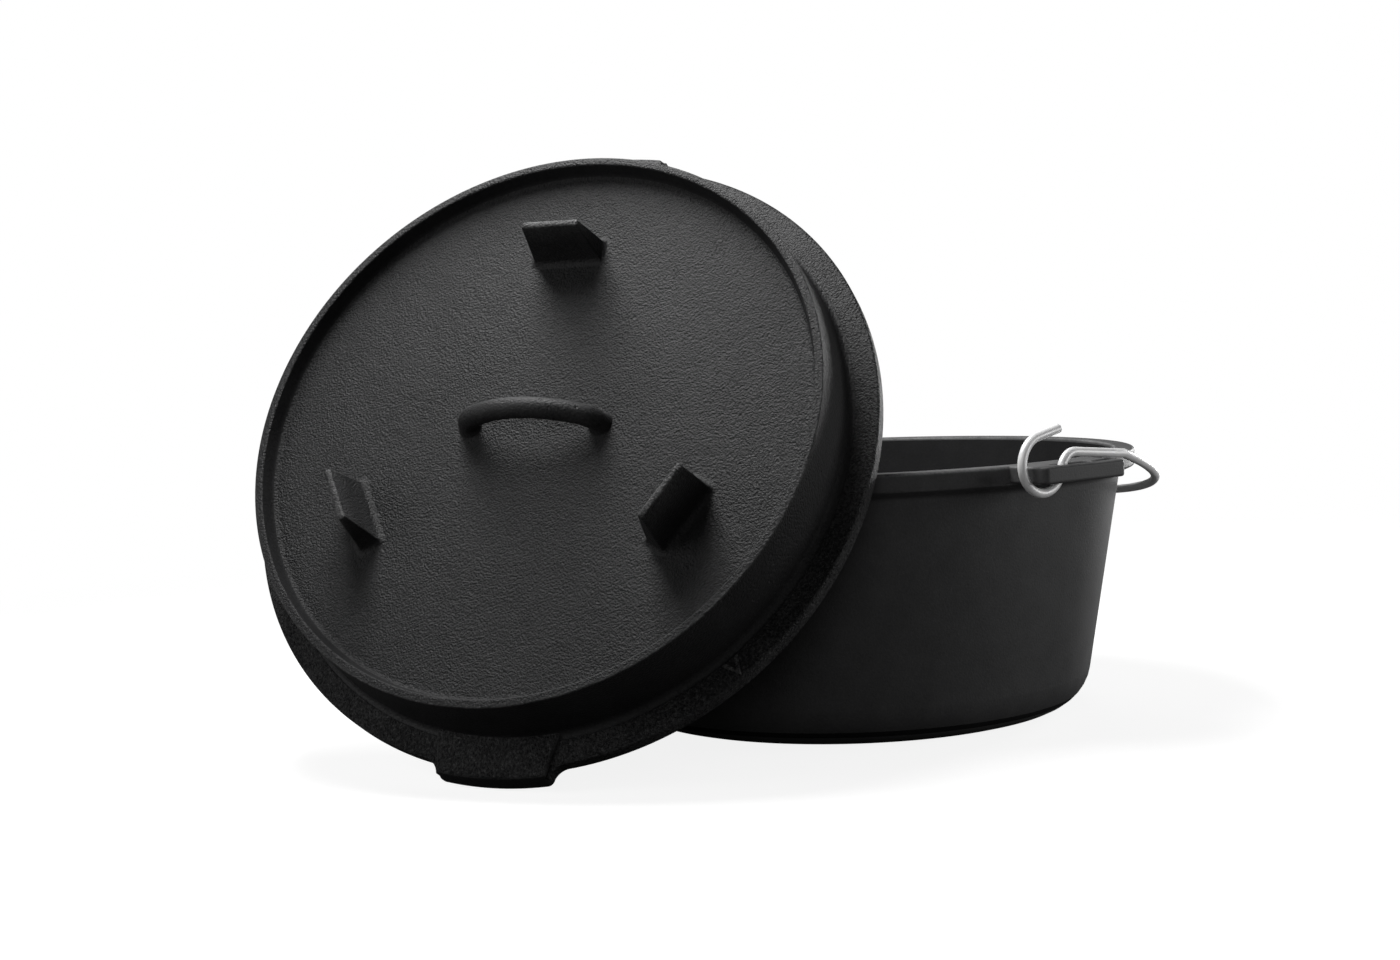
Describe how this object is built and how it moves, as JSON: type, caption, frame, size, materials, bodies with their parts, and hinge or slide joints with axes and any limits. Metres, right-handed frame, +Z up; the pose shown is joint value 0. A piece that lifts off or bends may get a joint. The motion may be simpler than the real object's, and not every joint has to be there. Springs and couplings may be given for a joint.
{
  "type": "camp dutch oven",
  "caption": "Round cast-iron camp dutch oven with a folding wire bail on slotted rim ears and a flanged, footed lid with a loop handle, shown leaning on the pot.",
  "frame": {"origin": "middle of the pot's flat base, on the floor", "axes": "+Z up along the pot's axis; -Y towards the viewer of the picture; +X to the viewer's right"},
  "size_m": [0.47, 0.3975, 0.3024],
  "materials": {
    "pot_iron": "matt, pre-seasoned as-cast surface",
    "lid_iron": "matt, pre-seasoned as-cast surface, a little coarser on the plate and flange",
    "bail_wire": "bright plated steel wire"
  },
  "bodies": {
    "pot": {"pot": "pot_iron"},
    "lid": {"lid": "lid_iron"},
    "bail": {"bail": "bail_wire"}
  },
  "joints": [
    {"name": "bail_swing", "type": "hinge", "parent": "pot", "child": "bail", "pos_m": [-0.01553, -0.01379, 0.1386], "axis": [0.6639, -0.7478, 0], "range_deg": [0, 120]},
    {"name": "lid_lift", "type": "slide", "parent": "pot", "child": "lid", "axis": [-0.2669, -0.8165, 0.512], "range_m": [0, 0.3]}
  ]
}
